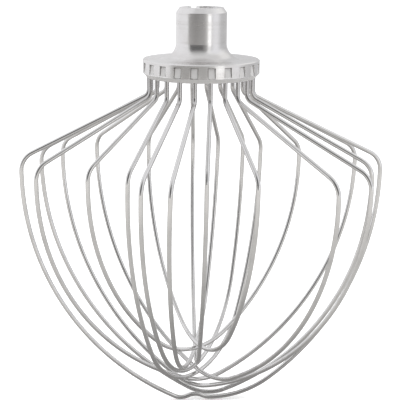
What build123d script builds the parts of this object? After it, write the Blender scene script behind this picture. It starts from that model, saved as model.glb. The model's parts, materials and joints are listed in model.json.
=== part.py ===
# Wire whisk for a bowl-lift stand mixer: a turned hub and eleven wire loops.
# Millimetres, +Z up along the drive axis, origin at the mouth of the drive bore.
import os
from math import acos, atan, atan2, cos, degrees, hypot, radians, sin

from build123d import *

# Hub
SOCKET_DIAMETER = 22.2
SOCKET_LENGTH = 22.2
TOP_CHAMFER_WIDTH = 1.6
TOP_CHAMFER_HEIGHT = 2.2
TOP_EDGE_ROUND = 0.4
FLARE_RADIUS = 7.0
COLLAR_DIAMETER = 51.4
COLLAR_HEIGHT = 8.0
RIM_EDGE_BREAK = 0.4
RIM_CHAMFER = 2.0

# Drive bore and bayonet slot for the mixer's cross pin
SHAFT_DIAMETER = 12.7
SHAFT_CLEARANCE = 0.15
BORE_DEPTH = 25.0
SLOT_WIDTH = 4.4
SLOT_DEPTH = 11.0
SLOT_ANGLE = 117.0
SLOT_TURN = 50.0

# Wire ends in the collar, each gripped by a stake mark struck into the rim
LOOP_COUNT = 11
WIRE_DIAMETER = 2.0
HOLE_CLEARANCE = 0.05
HOLE_DEPTH = 6.0
HOLE_INSET = 2.7
FIRST_HOLE_ANGLE = 181.8
STAKE_WIDTH = 3.4
STAKE_HEIGHT = 4.6
STAKE_BELOW_TOP = 1.3
STAKE_TOP_DEPTH = 0.8
STAKE_FOOT_DEPTH = 0.1
STAKE_OVERCUT = 1.0

# Wire cage, between the wire's centres: across the widest loop, and from the collar's
# underside down to the lowest nose
CAGE_WIDTH = 162.0
CAGE_HEIGHT = 153.0

# Wire loops, one value each in turn round the collar: how much less each side reaches out than
# the widest loop, how far the nose lies above the lowest one, the turn of the plane from its
# holes, the sideways shift of the shoulders and of the nose in that plane, and the lean and
# the radius of the nose
REACH_CUTS = (0, 4.5, 24.5, 33, 25.5, 29.5, 33.5, 28, 8, 3, 5)
NOSE_RAISES = (0, 8, 25, 11, 16, 20, 18.5, 27.5, 12, 6, 0.5)
PLANE_TWISTS = (1.5, 2, -1.5, 1, -1, -5, -6, 1.5, 4.5, 3, 3)
SIDE_SHIFTS = (-1, -2, 0, 0.5, 3, 7, -6.5, -2, 3, 2.5, 0.5)
NOSE_SHIFTS = (1.5, -3, 2, -0.5, -1, 4.5, -2.5, 3, 6.5, -1.5, 2)
NOSE_LEANS = (0, 2.5, 1, 3, 2, 3.5, 1, 1, -1.5, 0, -5.5)
NOSE_RADII = (45, 24, 29.5, 34.5, 44.5, 39.5, 22.5, 33.5, 28, 20.5, 20)
END_DROP = 8.0
END_BEND_RADIUS = 4.0
SHOULDER_DROP = 36.5
SHOULDER_RADIUS = 9.0
SIDE_STRAIGHT = 7.0

# Largest nose radius, as a share of the reach of its side
NOSE_SHARE_LIMIT = 0.9

# Dimple pressed up into the bottom of the lowest loop, with a tight corner on one side
DIMPLED_LOOP = 0
DIMPLE_HALF_WIDTH = 7.0
DIMPLE_HEIGHT = 1.6
DIMPLE_CORNER_RADIUS = 6.0

socket_radius = SOCKET_DIAMETER / 2
collar_radius = COLLAR_DIAMETER / 2
collar_top = -SOCKET_LENGTH
collar_bottom = collar_top - COLLAR_HEIGHT
bore_radius = SHAFT_DIAMETER / 2 + SHAFT_CLEARANCE
wire_radius = WIRE_DIAMETER / 2
pitch_radius = collar_radius - HOLE_INSET
end_count = 2 * LOOP_COUNT
end_angle = 360 / end_count
wire_top = collar_bottom + HOLE_DEPTH
bend_z = collar_bottom - END_DROP
shoulder_z = collar_bottom - SHOULDER_DROP
stake_top = collar_top - STAKE_BELOW_TOP
stake_foot = stake_top - STAKE_HEIGHT
dimple_angle = 2 * degrees(atan(DIMPLE_HEIGHT / DIMPLE_HALF_WIDTH))
dimple_radius = DIMPLE_HALF_WIDTH / (2 * sin(radians(dimple_angle)))

os.makedirs("parts", exist_ok=True)

with BuildPart() as hub:
    # Turned outline: socket, flared root and collar
    with BuildSketch(Plane.XZ):
        with BuildLine():
            Polyline(
                (0, 0),
                (socket_radius - TOP_CHAMFER_WIDTH, 0),
                (socket_radius, -TOP_CHAMFER_HEIGHT),
                (socket_radius, collar_top),
                (collar_radius, collar_top),
                (collar_radius, collar_bottom),
                (0, collar_bottom),
                close=True,
            )
        make_face()
    revolve(axis=Axis.Z)
    rings = hub.edges().filter_by(GeomType.CIRCLE).sort_by(SortBy.RADIUS)
    socket_rings = rings[:3].sort_by(Axis.Z)
    collar_rings = rings[3:].sort_by(Axis.Z)
    chamfer(collar_rings[0], RIM_CHAMFER)
    chamfer(collar_rings[1], RIM_EDGE_BREAK)
    fillet(socket_rings[0], FLARE_RADIUS)
    fillet(socket_rings[1:], TOP_EDGE_ROUND)

    # Drive bore
    Hole(bore_radius, depth=BORE_DEPTH)

    # Bayonet slot: down from the rim, then round the socket
    with BuildSketch(Plane.XY):
        with Locations(Rotation(0, 0, SLOT_ANGLE)):
            Rectangle(SOCKET_DIAMETER, SLOT_WIDTH, align=(Align.MIN, Align.CENTER))
    extrude(amount=-SLOT_DEPTH, mode=Mode.SUBTRACT)
    with BuildSketch(Plane.XZ.rotated((0, 0, SLOT_ANGLE))):
        with Locations((0, -SLOT_DEPTH)):
            Rectangle(SOCKET_DIAMETER, SLOT_WIDTH, align=(Align.MIN, Align.MIN))
    revolve(axis=Axis.Z, revolution_arc=-SLOT_TURN, mode=Mode.SUBTRACT)

    # Blind wire holes from below
    with BuildSketch(Plane.XY.offset(collar_bottom)):
        with PolarLocations(pitch_radius, end_count, start_angle=FIRST_HOLE_ANGLE):
            Circle(wire_radius + HOLE_CLEARANCE)
    extrude(amount=HOLE_DEPTH, mode=Mode.SUBTRACT)

    # Stake marks: deep under the top edge, and running out towards the foot
    with BuildPart(mode=Mode.PRIVATE) as stake_punch:
        with BuildSketch(Plane.XZ):
            with BuildLine():
                Polyline(
                    (collar_radius - STAKE_TOP_DEPTH, stake_top),
                    (collar_radius + STAKE_OVERCUT, stake_top),
                    (collar_radius + STAKE_OVERCUT, stake_foot),
                    (collar_radius - STAKE_FOOT_DEPTH, stake_foot),
                    close=True,
                )
            make_face()
        extrude(amount=STAKE_WIDTH / 2, both=True)
    with PolarLocations(0, end_count, start_angle=FIRST_HOLE_ANGLE):
        add(stake_punch.part, mode=Mode.SUBTRACT)

hub.part.label = "hub"
export_step(hub.part, "parts/hub.step")

# Each loop runs from one hole down its leg, round the shoulder and the nose, and back up
# to the opposite hole. Below the shoulders it leans, so that the loops clear each other.
for index in range(LOOP_COUNT):
    half_width = CAGE_WIDTH / 2 - REACH_CUTS[index]
    twist = PLANE_TWISTS[index]
    shift = SIDE_SHIFTS[index]
    nose_shift = NOSE_SHIFTS[index]
    nose_lean = NOSE_LEANS[index]
    flat = DIMPLE_HALF_WIDTH if index == DIMPLED_LOOP else 0
    loop_angle = FIRST_HOLE_ANGLE + index * end_angle + twist
    end_x = pitch_radius * cos(radians(twist))
    end_y = pitch_radius * sin(radians(twist))
    cage_drop = CAGE_HEIGHT - NOSE_RAISES[index] - SHOULDER_DROP
    cage_length = hypot(cage_drop, nose_lean)
    lean = degrees(atan2(nose_lean, cage_drop))
    side_z = shoulder_z - SIDE_STRAIGHT * cos(radians(lean))
    side_y = SIDE_STRAIGHT * sin(radians(lean))

    upright = Plane.XZ.rotated((0, 0, loop_angle))
    leaning = Plane.XZ.rotated((-lean, 0, loop_angle), Extrinsic.XYZ)
    leaning.origin = (0, 0, shoulder_z)
    with BuildPart() as wire_loop:
        with BuildLine(upright) as legs:
            for side in (1, -1):
                shoulder_x = shift + side * half_width
                FilletPolyline(
                    (side * end_x, wire_top, side * end_y),
                    (side * end_x, bend_z, side * end_y),
                    (shoulder_x, shoulder_z),
                    (shoulder_x, side_z, side_y),
                    radius=(END_BEND_RADIUS, SHOULDER_RADIUS),
                )
        with BuildLine(leaning) as cage:
            for side in (1, -1):
                # The side arc leaves the side straight and meets the nose arc smoothly
                tight = flat and side > 0
                nose_reach = half_width + side * (shift - nose_shift) - flat
                nose_radius = min(
                    DIMPLE_CORNER_RADIUS if tight else NOSE_RADII[index],
                    NOSE_SHARE_LIMIT * nose_reach,
                )
                nose_rise = cage_length - SIDE_STRAIGHT - nose_radius
                side_radius = (nose_reach**2 + nose_rise**2 - nose_radius**2) / (
                    2 * (nose_reach - nose_radius)
                )
                side_sweep = degrees(
                    acos((side_radius - nose_reach) / (side_radius - nose_radius))
                )
                CenterArc(
                    (shift + side * (half_width - side_radius), -SIDE_STRAIGHT),
                    side_radius,
                    90 - side * 90,
                    -side * side_sweep,
                )
                CenterArc(
                    (nose_shift + side * flat, nose_radius - cage_length),
                    nose_radius,
                    90 - side * (90 + side_sweep),
                    -side * (90 - side_sweep),
                )
                if flat:
                    CenterArc(
                        (nose_shift + side * flat, dimple_radius - cage_length),
                        dimple_radius,
                        -90,
                        -side * dimple_angle,
                    )
                    CenterArc(
                        (nose_shift, DIMPLE_HEIGHT - dimple_radius - cage_length),
                        dimple_radius,
                        90 - side * dimple_angle,
                        side * dimple_angle,
                    )
        spine = Wire(legs.edges() + cage.edges())
        with BuildSketch(Plane(origin=spine @ 0, z_dir=spine % 0)):
            Circle(wire_radius)
        sweep(path=spine)

    node = f"wire_loop_{index + 1:02d}"
    wire_loop.part.label = node
    export_step(wire_loop.part, f"parts/{node}.step")
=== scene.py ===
import json
import math

import bpy
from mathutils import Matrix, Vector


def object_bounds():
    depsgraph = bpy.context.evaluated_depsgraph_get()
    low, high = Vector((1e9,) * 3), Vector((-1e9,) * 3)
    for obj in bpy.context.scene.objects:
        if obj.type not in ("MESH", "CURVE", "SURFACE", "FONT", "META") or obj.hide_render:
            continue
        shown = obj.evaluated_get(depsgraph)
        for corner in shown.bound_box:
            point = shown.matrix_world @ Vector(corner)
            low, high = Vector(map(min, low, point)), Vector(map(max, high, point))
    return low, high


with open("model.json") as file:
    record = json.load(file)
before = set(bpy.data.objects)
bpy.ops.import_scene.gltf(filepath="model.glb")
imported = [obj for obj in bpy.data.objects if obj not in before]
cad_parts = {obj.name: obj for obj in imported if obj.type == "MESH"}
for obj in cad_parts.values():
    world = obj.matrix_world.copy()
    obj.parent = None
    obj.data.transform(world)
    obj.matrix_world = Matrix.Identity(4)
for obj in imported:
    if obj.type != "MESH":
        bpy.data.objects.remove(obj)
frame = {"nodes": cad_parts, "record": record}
cad_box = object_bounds()

# Camera: the photograph's viewing angle, for an image of 400 by 400 pixels
IMAGE_SIZE_PX = 400
FOCAL_PX = 1021.8
SENSOR_MM = 36.0
CAMERA_DISTANCE = 0.450
CAMERA_HEIGHT = 0.0276
CAMERA_PITCH_DEG = 14.2
CAMERA_ROLL_DEG = 0.5

# Paper floor under the whisk
FLOOR_GAP = 0.0005
FLOOR_SIZE = 30.0
FLOOR_COLOUR = (0.90, 0.90, 0.90)
FLOOR_ROUGHNESS = 0.9
FLOOR_GLOW = 0.42

# The floor as the steel mirrors it: tones of a round table by distance from the drive axis,
# darker near the axis as a painted shadow of the whisk, another tone behind the whisk, and the
# table's edge, in metres
TABLE_SHADOW_DARK = (0.30, 0.295, 0.29)
TABLE_SHADOW_PALE = (0.62, 0.61, 0.595)
TABLE_FAR = (0.84, 0.825, 0.805)
TABLE_BACK = (0.54, 0.53, 0.52)
TABLE_INNER_RANGE = (0.02, 0.14)
TABLE_OUTER_RANGE = (0.14, 0.45)
TABLE_BACK_RANGE = (-0.10, 0.20)
TABLE_EDGE_RANGE = (0.75, 1.10)

# Turned and drawn finishes. Each noise: scale, detail and roughness.
MARK_NOISE = (1.0, 2.0, 0.6)
STREAK_NOISE = (0.13, 3.0, 0.6)
BLOTCH_NOISE = (140.0, 3.0, 0.55)
BLOTCH_MEAN = 0.5
SMUDGE_NOISE = (60.0, 4.0, 0.6)
SMUDGE_RANGE = (0.45, 0.7)
STREAK_GLOSS_RANGE = (0.25, 0.75)
STREAK_TONE_RANGE = (0.4, 0.8)
MARK_DEPTH = 0.0001

# Steel of the hub and of the wires, and how much darker it is along its streaks
HUB_COLOUR = (0.80, 0.79, 0.785)
HUB_STREAK_TINT = (0.90, 0.89, 0.88)
WIRE_COLOUR = (0.79, 0.785, 0.78)
WIRE_STREAK_TINT = (0.90, 0.90, 0.90)

# Stake marks in the collar's rim, from the part's own dimensions, in metres: a mark's floor
# lies between the two depths below the rim
RIM_RADIUS = 0.0257
STAKE_MIDDLE = -0.0258
STAKE_HALF_HEIGHT = 0.0023
STAKE_HALF_WIDTH = 0.0017
STAKE_COUNT = 22
STAKE_PITCH = math.radians(360.0 / STAKE_COUNT)
FIRST_STAKE_ANGLE = math.radians(181.8)
STAKE_LEAST_DEPTH = (0.00009, 0.00015)
STAKE_MOST_DEPTH = (0.0012, 0.0009)
STAKE_END_SOFTNESS = 0.00005
# Painted shade in the stake marks' corners: its width, its gap from the side walls, and its
# colour
STAKE_SHADE_WIDTH = 0.0005
STAKE_WALL_GAP = 0.0001
STAKE_SHADE_COLOUR = (0.36, 0.345, 0.33)

# Duller steel: in the stake marks, in the drive bore by its radius, and on the collar's lower
# chamfer and underside by their height
DULL_COLOUR = (0.97, 0.965, 0.96)
DULL_ROUGHNESS = 0.85
BORE_RANGE = (0.0068, 0.0066)
UNDERSIDE_RANGE = (-0.0280, -0.0284)

# Painted shade on the wires where they enter the collar, darker just under it
COLLAR_SHADE_RANGE = (-0.047, -0.032)
COLLAR_SHADE_COLOUR = (0.58, 0.57, 0.565)

# Studio surroundings: soft panels round the object, seen only in its reflections and as light.
# Each panel: colour, then centre, half width and edge round from the camera's side, then
# middle, half height and edge up, all in degrees.
BACKGROUND_COLOUR = (1.0, 1.0, 1.0)
PANEL_ANGLES = ("Centre", "Half Width", "Side Edge", "Middle", "Half Height", "Level Edge")
PANELS = {
    "ceiling": ((0.80, 0.80, 0.81), 0.0, 190.0, 1.0, 76.0, 24.0, 9.0),
    "back_left": ((0.79, 0.79, 0.80), -180.0, 26.0, 8.0, 15.0, 42.0, 8.0),
    "back_right": ((0.68, 0.68, 0.69), 180.0, 26.0, 8.0, 15.0, 42.0, 8.0),
    "left_sheet": ((0.93, 0.93, 0.95), -110.0, 50.0, 8.0, 30.0, 42.0, 8.0),
    "right_sheet": ((0.92, 0.92, 0.95), 66.0, 34.0, 12.0, 15.0, 32.0, 10.0),
    "right_wall": ((0.60, 0.60, 0.61), 124.0, 36.0, 16.0, -10.0, 30.0, 14.0),
    "dark_room": ((0.145, 0.145, 0.145), -14.0, 42.0, 8.0, 10.0, 40.0, 28.0),
    "room_glow": ((0.44, 0.435, 0.43), 31.0, 16.0, 16.0, 12.0, 22.0, 10.0),
    "horizon": ((0.36, 0.355, 0.35), -16.5, 44.5, 3.0, -12.5, 12.0, 1.5),
    "horizon_shade": ((0.27, 0.265, 0.26), -24.0, 12.0, 10.0, -3.5, 5.0, 3.0),
    "horizon_glow": ((0.54, 0.535, 0.53), 26.0, 10.0, 9.0, -5.0, 5.0, 3.0),
    "strip_light": ((1.5, 1.5, 1.5), 37.0, 8.0, 2.0, -7.0, 11.0, 2.0),
    "strip_top": ((1.0, 1.0, 1.0), 37.0, 8.0, 2.0, 25.0, 22.0, 3.0),
}

# Key light, aimed at a point on the drive axis
KEY_PLACE = (-0.5, -0.5, 1.3)
KEY_AIM_HEIGHT = -0.1
KEY_SIZE = 1.6
KEY_POWER = 22.0


def feed(tree, socket, value):
    """Feeds a socket from another one, or sets it to a plain number or colour."""
    if isinstance(value, bpy.types.NodeSocket):
        tree.links.new(value, socket)
    elif isinstance(value, tuple):
        socket.default_value = (*value, 1.0)
    else:
        socket.default_value = value


def new_material(name):
    """A node material with only a Principled shader and its output."""
    material = bpy.data.materials.new(name)
    material.use_nodes = True
    return material, material.node_tree, material.node_tree.nodes["Principled BSDF"]


def new_group(name, inputs, outputs):
    """A shader node group with named sockets: numbers, or colours where the value is one."""
    group = bpy.data.node_groups.new(name, "ShaderNodeTree")
    for socket, value in inputs.items():
        if isinstance(value, tuple):
            kind, value = "NodeSocketColor", (*value, 1.0)
        else:
            kind = "NodeSocketFloat"
        item = group.interface.new_socket(name=socket, in_out="INPUT", socket_type=kind)
        item.default_value = value
    for socket, kind in outputs.items():
        group.interface.new_socket(name=socket, in_out="OUTPUT", socket_type=kind)
    inside = group.nodes.new("NodeGroupInput")
    outside = group.nodes.new("NodeGroupOutput")
    return group, inside.outputs, outside.inputs


def placed_group(tree, name, settings):
    """A node group placed in a tree, with its own values or links."""
    node = tree.nodes.new("ShaderNodeGroup")
    node.node_tree = bpy.data.node_groups[name]
    for socket, value in settings.items():
        feed(tree, node.inputs[socket], value)
    return node


def math_node(tree, operation, *values):
    """A math node fed by sockets or plain numbers; returns its result socket."""
    node = tree.nodes.new("ShaderNodeMath")
    node.operation = operation
    for socket, value in zip(node.inputs, values):
        feed(tree, socket, value)
    return node.outputs[0]


def smooth_range(tree, value, start, end, low=0.0, high=1.0):
    """A smooth ramp of a value between two limits."""
    node = tree.nodes.new("ShaderNodeMapRange")
    node.interpolation_type = "SMOOTHSTEP"
    names = ("Value", "From Min", "From Max", "To Min", "To Max")
    for name, setting in zip(names, (value, start, end, low, high)):
        feed(tree, node.inputs[name], setting)
    return node.outputs["Result"]


def noise_node(tree, vector, scale, detail, roughness):
    """Soft random variation over a place; returns its value socket."""
    node = tree.nodes.new("ShaderNodeTexNoise")
    names = ("Vector", "Scale", "Detail", "Roughness")
    for name, setting in zip(names, (vector, scale, detail, roughness)):
        feed(tree, node.inputs[name], setting)
    return node.outputs["Fac"]


def mixed_colour(tree, factor, first, second):
    """A colour that runs from the first to the second; either is a socket or a plain colour."""
    node = tree.nodes.new("ShaderNodeMix")
    node.data_type = "RGBA"
    for name, value in zip(("Factor", "A", "B"), (factor, first, second)):
        feed(tree, node.inputs[name], value)
    return node.outputs["Result"]


def mixed_shader(tree, factor, first, second):
    """A shader that runs from the first to the second."""
    node = tree.nodes.new("ShaderNodeMixShader")
    for socket, source in zip(node.inputs, (factor, first, second)):
        tree.links.new(source, socket)
    return node.outputs[0]


def object_place(tree):
    """A point's place in the object's own coordinates."""
    return tree.nodes.new("ShaderNodeTexCoord").outputs["Object"]


def split(tree, vector):
    """The three parts of a vector."""
    parts = tree.nodes.new("ShaderNodeSeparateXYZ")
    tree.links.new(vector, parts.inputs[0])
    return parts.outputs


def polar_place(tree):
    """Radius from the drive axis, angle round it and height of a point."""
    x, y, z = split(tree, object_place(tree))
    squares = [math_node(tree, "POWER", side, 2.0) for side in (x, y)]
    radius = math_node(tree, "SQRT", math_node(tree, "ADD", *squares))
    return radius, math_node(tree, "ARCTAN2", y, x), z


def turned_finish_group():
    """Fine tool marks that run round the drive axis, on walls and on flats alike."""
    group, given, result = new_group(
        "TurnedFinish",
        {"Marks per Metre": 2600.0, "Unevenness": 0.5},
        {"Height": "NodeSocketFloat", "Streak": "NodeSocketFloat"},
    )
    radius, _, height = polar_place(group)
    across = math_node(group, "ADD", height, radius)
    line = group.nodes.new("ShaderNodeCombineXYZ")
    feed(group, line.inputs[0], math_node(group, "MULTIPLY", across, given["Marks per Metre"]))
    marks = noise_node(group, line.outputs[0], *MARK_NOISE)
    streaks = noise_node(group, line.outputs[0], *STREAK_NOISE)
    blotches = noise_node(group, object_place(group), *BLOTCH_NOISE)
    uneven = math_node(
        group,
        "MULTIPLY",
        math_node(group, "SUBTRACT", blotches, BLOTCH_MEAN),
        given["Unevenness"],
    )
    feed(group, result["Height"], math_node(group, "ADD", marks, uneven))
    feed(group, result["Streak"], math_node(group, "ADD", streaks, uneven))


def smudge_group():
    """Handling smudges and fine scuffs that dull the gloss in patches."""
    scale, detail, roughness = SMUDGE_NOISE
    group, given, result = new_group(
        "Smudges", {"Patch Scale": scale, "Amount": 0.1}, {"Dulling": "NodeSocketFloat"}
    )
    patches = noise_node(group, object_place(group), given["Patch Scale"], detail, roughness)
    dull = smooth_range(group, patches, *SMUDGE_RANGE)
    feed(group, result["Dulling"], math_node(group, "MULTIPLY", dull, given["Amount"]))


def stake_marks_group():
    """Stake marks struck into the collar's rim: their floor, and a painted shade in its corners.
    """
    group, given, result = new_group(
        "StakeMarks",
        {"Painted Shade Width": STAKE_SHADE_WIDTH},
        {"Fresh": "NodeSocketFloat", "Painted Shade": "NodeSocketFloat"},
    )
    radius, angle, height = polar_place(group)

    # Where a mark's floor lies: sunk below the rim, and between the mark's top and foot
    sunk = smooth_range(group, radius, *(RIM_RADIUS - depth for depth in STAKE_LEAST_DEPTH))
    rim = smooth_range(group, radius, *(RIM_RADIUS - depth for depth in STAKE_MOST_DEPTH))
    away = math_node(group, "ABSOLUTE", math_node(group, "SUBTRACT", height, STAKE_MIDDLE))
    level = smooth_range(
        group,
        away,
        STAKE_HALF_HEIGHT + STAKE_END_SOFTNESS,
        STAKE_HALF_HEIGHT - STAKE_END_SOFTNESS,
    )
    fresh = math_node(group, "MULTIPLY", math_node(group, "MULTIPLY", sunk, rim), level)

    # Painted shade along the floor's two sides, clear of the side walls, and under the top edge
    turned = math_node(group, "SUBTRACT", angle, FIRST_STAKE_ANGLE)
    turns = math_node(group, "DIVIDE", turned, STAKE_PITCH)
    nearest = math_node(group, "ROUND", turns)
    share = math_node(group, "ABSOLUTE", math_node(group, "SUBTRACT", turns, nearest))
    aside = math_node(group, "MULTIPLY", share, STAKE_PITCH * RIM_RADIUS)
    shade_start = math_node(group, "SUBTRACT", STAKE_HALF_WIDTH, given["Painted Shade Width"])
    beside = smooth_range(group, aside, shade_start, STAKE_HALF_WIDTH - STAKE_WALL_GAP)
    on_floor = smooth_range(
        group, aside, STAKE_HALF_WIDTH, STAKE_HALF_WIDTH - STAKE_WALL_GAP / 2
    )
    sides = math_node(group, "MULTIPLY", beside, on_floor)
    top = STAKE_MIDDLE + STAKE_HALF_HEIGHT
    top_start = math_node(group, "SUBTRACT", top, given["Painted Shade Width"])
    corner = math_node(group, "MAXIMUM", sides, smooth_range(group, height, top_start, top))
    feed(group, result["Fresh"], fresh)
    feed(group, result["Painted Shade"], math_node(group, "MULTIPLY", fresh, corner))


def hub_details(tree, shade, gloss):
    """Duller stake marks with painted shade in their corners, duller bore, lower chamfer and
    underside.
    """
    stakes = placed_group(tree, "StakeMarks", {}).outputs
    radius, _, height = polar_place(tree)
    under = smooth_range(tree, height, *UNDERSIDE_RANGE)
    bore = smooth_range(tree, radius, *BORE_RANGE)
    hidden = math_node(tree, "MAXIMUM", bore, under)
    dull = math_node(tree, "MAXIMUM", stakes["Fresh"], hidden)
    roughened = math_node(tree, "MULTIPLY", dull, DULL_ROUGHNESS)
    gloss = math_node(tree, "MAXIMUM", gloss, roughened)
    shade = mixed_colour(tree, dull, shade, DULL_COLOUR)
    # Painted shade in the corners of the stake marks
    return mixed_colour(tree, stakes["Painted Shade"], shade, STAKE_SHADE_COLOUR), gloss


def wire_details(tree, shade, gloss):
    """Painted shade towards the ends of the wires, under the collar."""
    height = split(tree, object_place(tree))[2]
    # Painted shade: the wires darken towards the collar
    collar_shade = smooth_range(tree, height, *COLLAR_SHADE_RANGE)
    return mixed_colour(tree, collar_shade, shade, COLLAR_SHADE_COLOUR), gloss


def steel(name, colour, streak_tint, roughness, spread, marks_per_metre, relief, details):
    """Steel whose tone and gloss vary along its tool or drawing marks."""
    material, tree, shader = new_material(name)
    shader.inputs["Metallic"].default_value = 1.0
    marks = placed_group(tree, "TurnedFinish", {"Marks per Metre": marks_per_metre}).outputs
    smudges = placed_group(tree, "Smudges", {"Amount": spread}).outputs
    streak_gloss = smooth_range(
        tree, marks["Streak"], *STREAK_GLOSS_RANGE, roughness - spread, roughness + spread
    )
    gloss = math_node(tree, "ADD", streak_gloss, smudges["Dulling"])
    streak_colour = tuple(part * tint for part, tint in zip(colour, streak_tint))
    streak_tone = smooth_range(tree, marks["Streak"], *STREAK_TONE_RANGE)
    shade = mixed_colour(tree, streak_tone, colour, streak_colour)
    shade, gloss = details(tree, shade, gloss)
    feed(tree, shader.inputs["Base Color"], shade)
    feed(tree, shader.inputs["Roughness"], gloss)
    bump = tree.nodes.new("ShaderNodeBump")
    bump.inputs["Strength"].default_value = relief
    bump.inputs["Distance"].default_value = MARK_DEPTH
    feed(tree, bump.inputs["Height"], marks["Height"])
    feed(tree, shader.inputs["Normal"], bump.outputs["Normal"])
    return material


def panel_group():
    """A soft-edged rectangle of the surroundings, laid over what is below it."""
    group, given, result = new_group(
        "StudioPanel",
        {
            "Below": (0.5, 0.5, 0.5),
            "Colour": (1.0, 1.0, 1.0),
            "Azimuth": 0.0,
            "Elevation": 0.0,
            **dict.fromkeys(PANEL_ANGLES, 0.0),
        },
        {"Result": "NodeSocketColor"},
    )

    def band(angle, middle, half, edge):
        offset = math_node(group, "SUBTRACT", given[angle], given[middle])
        return smooth_range(
            group,
            math_node(group, "ABSOLUTE", offset),
            math_node(group, "ADD", given[half], given[edge]),
            math_node(group, "SUBTRACT", given[half], given[edge]),
        )

    across = band("Azimuth", "Centre", "Half Width", "Side Edge")
    upright = band("Elevation", "Middle", "Half Height", "Level Edge")
    inside = math_node(group, "MULTIPLY", across, upright)
    feed(group, result["Result"], mixed_colour(group, inside, given["Below"], given["Colour"]))


turned_finish_group()
smudge_group()
stake_marks_group()
panel_group()

# Steel of each CAD node, by its material slot in the record
finishes = {
    "hub_steel": steel(
        "hub_steel",
        HUB_COLOUR,
        HUB_STREAK_TINT,
        roughness=0.22,
        spread=0.05,
        marks_per_metre=2600.0,
        relief=0.10,
        details=hub_details,
    ),
    "wire_steel": steel(
        "wire_steel",
        WIRE_COLOUR,
        WIRE_STREAK_TINT,
        roughness=0.12,
        spread=0.03,
        marks_per_metre=700.0,
        relief=0.04,
        details=wire_details,
    ),
}
for subpart in frame["record"]["subparts"]:
    node = frame["nodes"][subpart["node"]]
    for slot in node.material_slots:
        slot.material = finishes[subpart["material_slot"]]

# Floor: white paper to the camera; in the steel's reflections a round table with a painted shadow
# of the whisk, greyer close to it, and the room beyond its edge
floor_z = cad_box[0][2] - FLOOR_GAP
bpy.ops.mesh.primitive_plane_add(size=FLOOR_SIZE, location=(0, 0, floor_z))
floor = bpy.context.object
floor.name = "floor"
paper, paper_tree, paper_shader = new_material("white_paper")
paper_settings = {
    "Base Color": FLOOR_COLOUR,
    "Roughness": FLOOR_ROUGHNESS,
    "Specular IOR Level": 0.0,
    "Emission Color": FLOOR_COLOUR,
    "Emission Strength": FLOOR_GLOW,
}
for name, setting in paper_settings.items():
    feed(paper_tree, paper_shader.inputs[name], setting)
from_axis = polar_place(paper_tree)[0]
depth = split(paper_tree, object_place(paper_tree))[1]
# Painted shadow of the whisk on the table: darkest near the axis, paler further out
shadow_fade = smooth_range(paper_tree, from_axis, *TABLE_INNER_RANGE)
outer = smooth_range(paper_tree, from_axis, *TABLE_OUTER_RANGE)
behind = smooth_range(paper_tree, depth, *TABLE_BACK_RANGE)
beyond = smooth_range(paper_tree, from_axis, *TABLE_EDGE_RANGE)
shadowed_tone = mixed_colour(paper_tree, shadow_fade, TABLE_SHADOW_DARK, TABLE_SHADOW_PALE)
far_tone = mixed_colour(paper_tree, behind, TABLE_FAR, TABLE_BACK)
table = paper_tree.nodes.new("ShaderNodeEmission")
feed(paper_tree, table.inputs["Color"], mixed_colour(paper_tree, outer, shadowed_tone, far_tone))
clear = paper_tree.nodes.new("ShaderNodeBsdfTransparent")
mirrored = mixed_shader(paper_tree, beyond, table.outputs[0], clear.outputs[0])
to_steel = paper_tree.nodes.new("ShaderNodeLightPath").outputs["Is Glossy Ray"]
feed(
    paper_tree,
    paper_tree.nodes["Material Output"].inputs["Surface"],
    mixed_shader(paper_tree, to_steel, paper_shader.outputs[0], mirrored),
)
floor.data.materials.append(paper)

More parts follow.
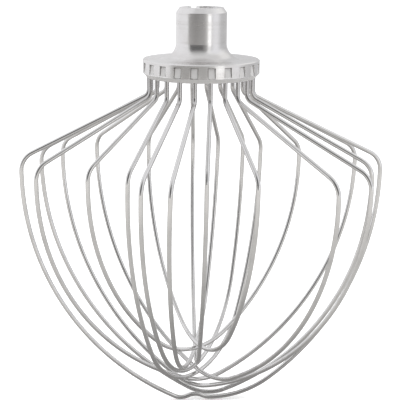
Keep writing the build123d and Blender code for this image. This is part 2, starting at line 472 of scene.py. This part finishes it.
# World: white to the camera, and the studio's panels over white to everything else
world = bpy.data.worlds.new("studio")
bpy.context.scene.world = world
world.use_nodes = True
sky_tree = world.node_tree
sky_tree.nodes.clear()
way_x, way_y, way_z = split(
    sky_tree, sky_tree.nodes.new("ShaderNodeTexCoord").outputs["Generated"]
)
to_front = math_node(sky_tree, "MULTIPLY", way_y, -1.0)
azimuth, elevation = (
    math_node(sky_tree, "MULTIPLY", angle, math.degrees(1.0))
    for angle in (
        math_node(sky_tree, "ARCTAN2", way_x, to_front),
        math_node(sky_tree, "ARCSINE", way_z),
    )
)
light = BACKGROUND_COLOUR
for name, (colour, *angles) in PANELS.items():
    panel = placed_group(
        sky_tree,
        "StudioPanel",
        {
            "Below": light,
            "Colour": colour,
            "Azimuth": azimuth,
            "Elevation": elevation,
            **dict(zip(PANEL_ANGLES, angles)),
        },
    )
    panel.name = name
    light = panel.outputs["Result"]
to_camera = sky_tree.nodes.new("ShaderNodeLightPath").outputs["Is Camera Ray"]
sky = sky_tree.nodes.new("ShaderNodeBackground")
sky_colour = mixed_colour(sky_tree, to_camera, light, BACKGROUND_COLOUR)
feed(sky_tree, sky.inputs["Color"], sky_colour)
sky_output = sky_tree.nodes.new("ShaderNodeOutputWorld")
feed(sky_tree, sky_output.inputs["Surface"], sky.outputs[0])

# Soft key light from above, which keeps a faint shadow under the whisk
key_data = bpy.data.lights.new("key", "AREA")
key_data.size = KEY_SIZE
key_data.energy = KEY_POWER
key = bpy.data.objects.new("key", key_data)
key_x, key_y, key_z = KEY_PLACE
key.location = KEY_PLACE
key.rotation_euler = (
    math.atan2(math.hypot(key_x, key_y), key_z - KEY_AIM_HEIGHT),
    0,
    math.atan2(key_x, -key_y),
)
key.visible_glossy = False
bpy.context.scene.collection.objects.link(key)

# Camera in front of the whisk, a little above the socket's mouth and tilted down
camera_data = bpy.data.cameras.new("camera")
camera_data.sensor_width = SENSOR_MM
camera_data.lens = FOCAL_PX / IMAGE_SIZE_PX * SENSOR_MM
camera = bpy.data.objects.new("camera", camera_data)
camera.location = (0, -CAMERA_DISTANCE, CAMERA_HEIGHT)
camera.rotation_euler = (math.radians(90.0 - CAMERA_PITCH_DEG), 0, 0)
camera.rotation_euler.rotate_axis("Z", math.radians(CAMERA_ROLL_DEG))
bpy.context.scene.collection.objects.link(camera)
bpy.context.scene.camera = camera
bpy.context.scene.view_settings.view_transform = "Standard"
